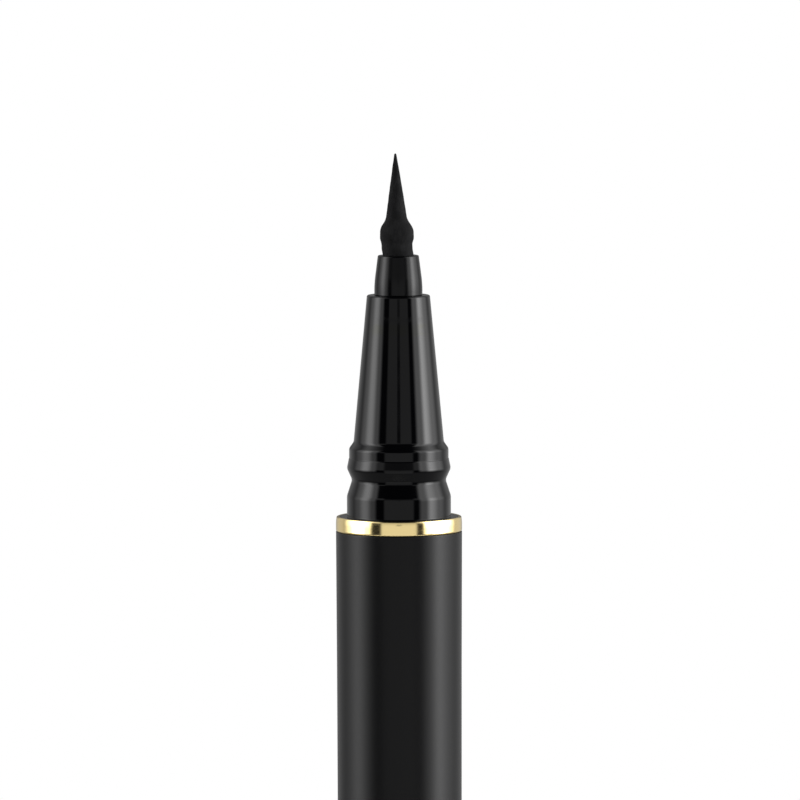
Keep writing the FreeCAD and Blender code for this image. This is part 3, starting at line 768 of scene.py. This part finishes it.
@dataclass
class BarrelGroup:
    """The gold ring, the matt barrel and the plug in its tail."""

    sides: int = 192
    ring_radius: float = 5.26
    ring_wall: float = 0.30
    ring_floor: float = 0.30
    ring_bore: float = 4.32
    ring_crown: float = 0.06       # how far the ring's face leans in towards its top
    ring_crown_height: float = 0.32
    ring_crown_ease: float = 0.26
    ring_top_ease: float = 0.16
    ring_foot_ease: float = 0.15
    ring_inner_ease: float = 0.03
    barrel_radius: float = 5.175
    mouth_radius: float = 5.26
    flare_length: float = 19.0
    flare_ease: float = 8.0
    bore_radius: float = 4.30
    edge_ease: float = 0.07
    snap_depth: float = 6.0
    snap_height: float = 0.12
    snap_half_width: float = 0.45
    flange_ease: float = 0.08
    spigot_radius: float = 4.1275
    spigot_ease: float = 0.4
    plug_radius: float = 4.28
    plug_lead: float = 0.5
    core_radius: float = 3.0
    end_wall: float = 1.0

    def build(self) -> list[bpy.types.Object]:
        """Builds the ring, the barrel and the plug."""
        return [self.ring(), self.barrel(), self.tail_plug()]

    def ring(self) -> bpy.types.Object:
        """Thin bright sleeve with a floor that the barrel and the front section clamp.

        Returns:
            The ring.
        """
        inner = self.ring_radius - self.ring_wall
        ledge = BARREL_MOUTH + self.ring_floor
        mesh = turn([
            Corner(self.ring_bore, BARREL_MOUTH),
            Corner(self.ring_radius, BARREL_MOUTH, self.ring_foot_ease),
            Corner(
                self.ring_radius, RING_TOP - self.ring_crown_height,
                self.ring_crown_ease, MANY_FACETS),
            Corner(self.ring_radius - self.ring_crown, RING_TOP, self.ring_top_ease, MANY_FACETS),
            Corner(inner, RING_TOP, self.ring_inner_ease, FEW_FACETS),
            Corner(inner, ledge),
            Corner(self.ring_bore, ledge),
        ], self.sides)
        return publish(
            mesh, Piece("trim_ring_sleeve", "trim_ring", Body.PEN, Slot.TRIM, GOLD_ALUMINIUM))

    def barrel(self) -> bpy.types.Object:
        """Tube that swells a little towards the ring.

        Returns:
            The barrel.
        """
        snap = BARREL_MOUTH - self.snap_depth
        mesh = turn([
            Corner(self.bore_radius, BARREL_REAR),
            Corner(self.barrel_radius, BARREL_REAR, self.edge_ease),
            Corner(
                self.barrel_radius, BARREL_MOUTH - self.flare_length, self.flare_ease, MANY_FACETS),
            Corner(self.mouth_radius, BARREL_MOUTH, self.edge_ease),
            Corner(self.bore_radius, BARREL_MOUTH),
            Corner(self.bore_radius, snap + self.snap_half_width + self.snap_height),
            Corner(self.bore_radius + self.snap_height, snap + self.snap_half_width),
            Corner(self.bore_radius + self.snap_height, snap - self.snap_half_width),
            Corner(self.bore_radius, snap - self.snap_half_width - self.snap_height),
        ], self.sides)
        return publish(mesh, Piece("barrel_tube", "barrel", Body.PEN, Slot.BARREL, BLACK_LACQUER))

    def tail_plug(self) -> bpy.types.Object:
        """Plug with a flange behind the barrel and the spigot that the cap is posted on.

        Returns:
            The plug.
        """
        mesh = turn([
            Corner(0.0, TAIL_END),
            Corner(self.spigot_radius, TAIL_END, self.spigot_ease),
            Corner(self.spigot_radius, CAP_MOUTH),
            Corner(self.barrel_radius, CAP_MOUTH, self.flange_ease),
            Corner(self.barrel_radius, BARREL_REAR, self.flange_ease),
            Corner(self.plug_radius, BARREL_REAR),
            Corner(self.plug_radius, PLUG_TOP, self.plug_lead),
            Corner(self.core_radius, PLUG_TOP),
            Corner(self.core_radius, TAIL_END + self.end_wall),
            Corner(0.0, TAIL_END + self.end_wall),
        ], self.sides)
        return publish(
            mesh, Piece("tail_plug_moulding", "tail_plug", Body.PEN, Slot.BARREL, BLACK_LACQUER))


@dataclass
class CapGroup:
    """The posted cap with its sprung inner cap."""

    sides: int = 192
    radius: float = 5.26
    bore_radius: float = 4.3625
    deep_bore_radius: float = 4.20
    end_wall: float = 1.2
    end_ease: float = 0.55
    mouth_ease: float = 0.15
    bead_depth: float = 3.06
    bead_height: float = 0.21
    bead_half_width: float = 0.6
    bead_flat: float = 0.21
    bead_facets: int = 4
    small_ease: float = 0.1
    seat_radius: float = 2.3
    seat_height: float = 1.0
    seat_ease: float = 0.2
    retainer_bore: float = 3.70
    retainer_radius: float = 4.3425
    retainer_ease: float = 0.3
    flange_radius: float = 4.15
    flange_thickness: float = 1.0
    cup_radius: float = 3.60
    cavity_radius: float = 3.0
    cavity_depth: float = 16.7
    lip_radius: float = 2.92
    lip_height: float = 0.8
    cup_ease: float = 0.4
    wire_radius: float = 0.25
    coil_radius: float = 3.0
    coil_turns: int = 5
    wire_sides: int = 12
    facets_per_turn: int = 40
    press_travel: float = 2.0

    def build(self) -> list[bpy.types.Object]:
        """Builds the shell, the retainer, the inner cap and its spring."""
        return [self.shell(), self.retainer(), self.inner_cap(), self.spring()]

    def shell(self) -> bpy.types.Object:
        """Closed sleeve with a snap bead near its mouth and a seat for the spring.

        Returns:
            The shell.
        """
        bead = CAP_MOUTH - self.bead_depth
        crest = self.bore_radius - self.bead_height
        seat = self.end_wall + self.seat_height
        mesh = turn([
            Corner(0.0, 0.0),
            Corner(self.radius, 0.0, self.end_ease, MANY_FACETS),
            Corner(self.radius, CAP_MOUTH, self.mouth_ease),
            Corner(self.bore_radius, CAP_MOUTH, self.mouth_ease),
            Corner(self.bore_radius, bead + self.bead_half_width),
            Corner(crest, bead + self.bead_flat, self.small_ease, self.bead_facets),
            Corner(crest, bead - self.bead_flat, self.small_ease, self.bead_facets),
            Corner(self.bore_radius, bead - self.bead_half_width),
            Corner(self.bore_radius, RETAINER_END),
            Corner(self.deep_bore_radius, RETAINER_END),
            Corner(self.deep_bore_radius, self.end_wall),
            Corner(self.seat_radius, self.end_wall),
            Corner(self.seat_radius, seat, self.seat_ease),
            Corner(0.0, seat),
        ], self.sides)
        return publish(
            mesh, Piece("cap_shell_sleeve", "cap_shell", Body.CAP, Slot.BARREL, BLACK_LACQUER))

    def retainer(self) -> bpy.types.Object:
        """Collar that keeps the inner cap in the shell.

        Returns:
            The retainer.
        """
        mesh = turn([
            Corner(self.retainer_bore, RETAINER_END, self.small_ease, FEW_FACETS),
            Corner(self.retainer_radius, RETAINER_END),
            Corner(self.retainer_radius, RETAINER_TOP),
            Corner(self.retainer_bore, RETAINER_TOP, self.retainer_ease),
        ], self.sides)
        return publish(
            mesh, Piece("retainer_collar", "inner_cap_retainer", Body.CAP, Slot.INNER, NATURAL_PP))

    def inner_cap(self) -> bpy.types.Object:
        """Cup with a sealing lip, a flange under the retainer and a seat for the spring.

        Returns:
            The inner cap.
        """
        end = INNER_CAP_SEAT + self.seat_height
        flange = RETAINER_END - self.flange_thickness
        lip = RETAINER_END - self.lip_height
        cavity_end = RETAINER_END - self.cavity_depth
        mesh = turn([
            Corner(0.0, INNER_CAP_SEAT),
            Corner(self.seat_radius, INNER_CAP_SEAT, self.seat_ease),
            Corner(self.seat_radius, end),
            Corner(self.cup_radius, end, self.cup_ease),
            Corner(self.cup_radius, flange),
            Corner(self.flange_radius, flange, self.small_ease, FEW_FACETS),
            Corner(self.flange_radius, RETAINER_END, self.small_ease, FEW_FACETS),
            Corner(self.lip_radius, RETAINER_END, self.small_ease, FEW_FACETS),
            Corner(self.lip_radius, lip, self.small_ease, FEW_FACETS),
            Corner(self.cavity_radius, lip - self.cavity_radius + self.lip_radius),
            Corner(self.cavity_radius, cavity_end, self.seat_ease),
            Corner(0.0, cavity_end),
        ], self.sides)
        return publish(
            mesh, Piece("inner_cap_cup", "inner_cap", Body.INNER_CAP, Slot.INNER, NATURAL_PP))

    def spring(self) -> bpy.types.Object:
        """Coil of round wire under the inner cap, at its rest length.

        Returns:
            The spring.
        """
        mesh = bmesh.new()
        bmesh.ops.create_circle(mesh, segments=self.wire_sides, radius=self.wire_radius)
        bmesh.ops.rotate(
            mesh, verts=mesh.verts, cent=(0, 0, 0),
            matrix=Quaternion((1, 0, 0), math.pi / 2).to_matrix())
        start = SPRING_END + self.wire_radius
        bmesh.ops.translate(mesh, verts=mesh.verts, vec=(self.coil_radius, 0, start))
        steps = self.coil_turns * self.facets_per_turn
        rise = (SPRING_TOP - SPRING_END - 2 * self.wire_radius) / steps
        bmesh.ops.spin(
            mesh, geom=mesh.verts[:] + mesh.edges[:], cent=(0, 0, 0), axis=(0, 0, 1),
            dvec=(0, 0, rise), angle=math.tau * self.coil_turns, steps=steps,
            use_merge=False, use_normal_flip=False, use_duplicate=False)
        bmesh.ops.holes_fill(mesh, edges=[e for e in mesh.edges if e.is_boundary])
        bmesh.ops.recalc_face_normals(mesh, faces=mesh.faces)
        made = publish(
            mesh, Piece("inner_cap_coil_spring", "inner_cap_spring", Body.CAP, Slot.STEEL, STEEL))
        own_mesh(made)
        return made


@dataclass
class InkSystem:
    """The hidden pieces that hold and feed the ink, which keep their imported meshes."""

    finishes: tuple[tuple[str, Finish], ...] = (
        ("feed_wick", INK_FIBRE),
        ("collector", NATURAL_PP),
        ("ink_tank", NATURAL_PP),
        ("tank_gasket", BLACK_RUBBER),
        ("agitator_ball", STEEL),
    )

    def build(self) -> list[bpy.types.Object]:
        """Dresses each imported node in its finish.

        Returns:
            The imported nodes' objects.
        """
        dressed_nodes = []
        for node, finish in self.finishes:
            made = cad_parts[node]
            made.data.materials.clear()
            made.data.materials.append(dressed(finish))
            dressed_nodes.append(made)
        return dressed_nodes


# Studio


@dataclass(frozen=True)
class LightPanel:
    """A soft-edged patch of light, by the directions in which the pen sees it, in degrees.

    Attributes:
        side: Side of the pen that it stands on.
        opens: Turn away from the camera at which it starts, and at which it is full.
        closes: Turn at which it starts to fade, and at which it has ended.
        rises: Elevation at which it starts, and at which it is full.
        sets: Elevation at which it starts to fade, and at which it has ended.
        strength: Its light, where 1 is white; below 0 it takes light away.
    """

    side: Side
    opens: tuple[float, float]
    closes: tuple[float, float]
    rises: tuple[float, float]
    sets: tuple[float, float]
    strength: float


ALL_ROUND = (-2.0, -1.0)      # opens in front of the camera's own direction
NO_END = (200.0, 201.0)       # closes behind the pen

# What stands round the pen, after the highlights and the dark gaps that it shows. The camera and
# the gap in the back wall take light away.
FRONT_CARD = LightPanel(Side.BOTH, ALL_ROUND, (30, 36), (-40, -24), (3, 24), 0.76)
CAMERA = LightPanel(Side.BOTH, ALL_ROUND, (3, 5.5), (4.2, 5.0), (6.35, 6.85), -0.8)
CARD_TOP = LightPanel(Side.BOTH, (30, 38), (50, 58), (6, 18), (20, 27), 1.0)
LEFT_DIFFUSER = LightPanel(Side.LEFT, (49, 59), (97, 123), (-24, 6), (40, 62), 2.7)
LEFT_LAMP = LightPanel(Side.LEFT, (62, 78), (82, 102), (-24, 6), (24, 44), 5.4)
RIGHT_DIFFUSER = LightPanel(Side.RIGHT, (43, 54), (99, 127), (-24, 6), (40, 62), 4.0)
RIGHT_LAMP = LightPanel(Side.RIGHT, (62, 77), (74, 102), (-24, 6), (0, 46), 11.0)
LEFT_WALL = LightPanel(Side.LEFT, (100, 130), (140, 175), (-30, -10), (40, 70), 0.54)
RIGHT_WALL = LightPanel(Side.RIGHT, (100, 130), (140, 175), (-30, -10), (40, 70), 0.62)
BACK_WALL = LightPanel(Side.BOTH, (140, 175), NO_END, (-30, -10), (62, 88), 0.4)
BACK_GAP = LightPanel(Side.BOTH, (140, 165), NO_END, (-1, 3), (10, 18), -0.24)
BELOW = LightPanel(Side.BOTH, ALL_ROUND, NO_END, (-92, -91), (-32, -14), 0.42)


@dataclass
class Studio:
    """Pale floor, soft light panels, white background and the photograph's camera."""

    panels: tuple[LightPanel, ...] = (
        FRONT_CARD, CARD_TOP, CAMERA, LEFT_DIFFUSER, LEFT_LAMP, LEFT_WALL,
        RIGHT_DIFFUSER, RIGHT_LAMP, RIGHT_WALL, BACK_WALL, BACK_GAP, BELOW)
    room_light: float = 0.02
    floor_radius: float = 100.0
    floor_fade: tuple[float, float] = (50.0, 95.0)
    floor_sides: int = 96
    floor_colour: str = "#ecebe8"
    floor_roughness: float = 0.8
    camera_distance: float = 800.0
    camera_elevation: float = 4.7
    camera_roll: float = -0.15
    camera_target: tuple[float, float, float] = (0.111, 0.0, 139.86)
    frame_width: float = 66.67
    sensor_width: float = 36.0
    camera_clip: tuple[float, float] = (50.0, 20000.0)

    def build(self) -> None:
        """Sets up the camera, the light and the floor."""
        bpy.context.scene.view_settings.view_transform = "Standard"
        self.camera()
        self.light()
        self.floor()

    def camera(self) -> None:
        """A long lens at the photograph's height and lean."""
        data = bpy.data.cameras.new("camera")
        data.sensor_width = self.sensor_width
        data.lens = self.sensor_width * self.camera_distance / self.frame_width
        data.clip_start, data.clip_end = (limit * MM for limit in self.camera_clip)
        made = bpy.data.objects.new("camera", data)
        bpy.context.scene.collection.objects.link(made)
        tilt = math.radians(self.camera_elevation)
        back = Vector((0, -math.cos(tilt), math.sin(tilt)))
        made.location = (Vector(self.camera_target) + back * self.camera_distance) * MM
        made.rotation_mode = "QUATERNION"
        made.rotation_quaternion = (-back).to_track_quat("-Z", "Y") @ Quaternion(
            (0, 0, 1), math.radians(self.camera_roll))
        bpy.context.scene.camera = made

    def panel_light(
        self, tree: bpy.types.NodeTree, panel: LightPanel, turns: dict[Side, bpy.types.NodeSocket],
        elevation: bpy.types.NodeSocket,
    ) -> bpy.types.NodeSocket:
        """Adds the nodes of one light panel.

        Args:
            tree: The world's node tree.
            panel: The panel.
            turns: Turn away from the camera, counted towards each side, in degrees.
            elevation: Elevation of the direction, in degrees.

        Returns:
            The panel's light in that direction.
        """
        light = panel.strength
        turn_socket = turns[panel.side]
        limits = (
            (turn_socket, panel.opens), (turn_socket, panel.closes[::-1]),
            (elevation, panel.rises), (elevation, panel.sets[::-1]))
        for angle, (none, full) in limits:
            share = add_node(tree, "ShaderNodeMapRange", {"interpolation_type": "SMOOTHSTEP"}, {
                "Value": angle, "From Min": none, "From Max": full})
            light = add_node(tree, "ShaderNodeMath", {"operation": "MULTIPLY"}, {
                0: share.outputs[0], 1: light}).outputs[0]
        return light

    def light(self) -> None:
        """Lights the pen from the world, which the camera itself sees as white."""
        world = bpy.data.worlds.new("studio")
        world.use_nodes = True
        bpy.context.scene.world = world
        tree = world.node_tree
        tree.nodes.clear()
        direction = add_node(tree, "ShaderNodeTexCoord").outputs["Generated"]
        parts = add_node(tree, "ShaderNodeSeparateXYZ", inputs={0: direction})
        front = add_node(tree, "ShaderNodeMath", {"operation": "MULTIPLY"}, {
            0: parts.outputs["Y"], 1: -1.0})
        radians = add_node(tree, "ShaderNodeMath", {"operation": "ARCTAN2"}, {
            0: parts.outputs["X"], 1: front.outputs[0]})
        right = add_node(tree, "ShaderNodeMath", {"operation": "DEGREES"}, {0: radians.outputs[0]})
        left = add_node(tree, "ShaderNodeMath", {"operation": "MULTIPLY"}, {
            0: right.outputs[0], 1: -1.0})
        either = add_node(tree, "ShaderNodeMath", {"operation": "ABSOLUTE"}, {0: right.outputs[0]})
        turns = {
            Side.LEFT: left.outputs[0], Side.RIGHT: right.outputs[0], Side.BOTH: either.outputs[0]}
        rise = add_node(tree, "ShaderNodeMath", {"operation": "ARCSINE"}, {0: parts.outputs["Z"]})
        elevation = add_node(tree, "ShaderNodeMath", {"operation": "DEGREES"}, {
            0: rise.outputs[0]}).outputs[0]
        rays = add_node(tree, "ShaderNodeLightPath")
        total = self.room_light
        for panel in self.panels:
            total = add_node(tree, "ShaderNodeMath", {"operation": "ADD"}, {
                0: self.panel_light(tree, panel, turns, elevation), 1: total}).outputs[0]
        above_none = add_node(tree, "ShaderNodeMath", {"operation": "MAXIMUM"}, {0: total, 1: 0.0})
        seen = add_node(tree, "ShaderNodeMath", {"operation": "MAXIMUM"}, {
            0: rays.outputs["Is Camera Ray"], 1: rays.outputs["Is Transmission Ray"]})
        strength = add_node(tree, "ShaderNodeMix", {"data_type": "FLOAT"}, {
            0: seen.outputs[0], NUMBER_A: above_none.outputs[0], NUMBER_B: 1.0})
        background = add_node(tree, "ShaderNodeBackground", inputs={
            "Color": WHITE, "Strength": strength.outputs[0]})
        add_node(tree, "ShaderNodeOutputWorld", inputs={"Surface": background.outputs[0]})

    def floor(self) -> None:
        """A pale round board under the cap, which fades into the white background."""
        mesh = bmesh.new()
        bmesh.ops.create_circle(
            mesh, cap_ends=True, segments=self.floor_sides, radius=self.floor_radius * MM)
        data = bpy.data.meshes.new("floor")
        mesh.to_mesh(data)
        mesh.free()
        made = bpy.data.objects.new("floor", data)
        bpy.context.scene.collection.objects.link(made)
        material = bpy.data.materials.new("board_painted_pale")
        material.use_nodes = True
        tree = material.node_tree
        tree.nodes.clear()
        place = add_node(tree, "ShaderNodeTexCoord").outputs["Object"]
        reach = add_node(tree, "ShaderNodeVectorMath", {"operation": "LENGTH"}, {0: place})
        fade = add_node(tree, "ShaderNodeMapRange", {"interpolation_type": "SMOOTHSTEP"}, {
            "Value": reach.outputs["Value"],
            "From Min": self.floor_fade[0] * MM, "From Max": self.floor_fade[1] * MM})
        rays = add_node(tree, "ShaderNodeLightPath")
        share = add_node(tree, "ShaderNodeMath", {"operation": "MULTIPLY"}, {
            0: fade.outputs[0], 1: rays.outputs["Is Camera Ray"]})
        board = add_node(tree, "ShaderNodeBsdfPrincipled", inputs={
            "Base Color": linear(self.floor_colour), "Roughness": self.floor_roughness})
        white = add_node(tree, "ShaderNodeEmission", inputs={"Color": WHITE, "Strength": 1.0})
        mixed = add_node(tree, "ShaderNodeMixShader", inputs={
            0: share.outputs[0], 1: board.outputs[0], 2: white.outputs[0]})
        add_node(tree, "ShaderNodeOutputMaterial", inputs={"Surface": mixed.outputs[0]})
        data.materials.append(material)


def main() -> None:
    """Builds the sub-assemblies in order, reports each piece, and sets up the studio."""
    logging.basicConfig(level=logging.INFO, format="%(name)s: %(message)s")
    for group in (WritingTip(), FrontSection(), BarrelGroup(), CapGroup(), InkSystem()):
        for piece in group.build():
            log.info("%s, %d faces", piece.name, len(piece.data.polygons))
    Studio().build()


if __name__ == "__main__":
    main()
